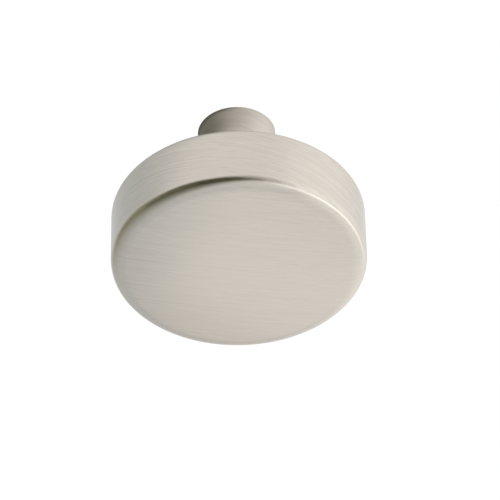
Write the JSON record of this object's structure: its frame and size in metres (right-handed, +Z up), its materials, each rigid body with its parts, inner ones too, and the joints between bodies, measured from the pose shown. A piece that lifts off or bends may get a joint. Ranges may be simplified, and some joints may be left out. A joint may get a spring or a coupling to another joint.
{
  "type": "cabinet knob",
  "caption": "Round cabinet knob: a thick disc with a slightly domed face and softened edges on a short plain stem, brushed satin nickel, fixed by a screw from behind the door.",
  "frame": {"origin": "middle of the stem's end face, where the knob meets the door", "axes": "+Y along the knob's axis into the door, with the face towards -Y; +Z up on a vertical door"},
  "size_m": [0.032, 0.0238, 0.032],
  "materials": {
    "satin_nickel": "satin nickel plate on zinc alloy, brushed straight across the face and round the side and stem"
  },
  "bodies": {
    "root": {"knob": "satin_nickel"}
  },
  "joints": []
}
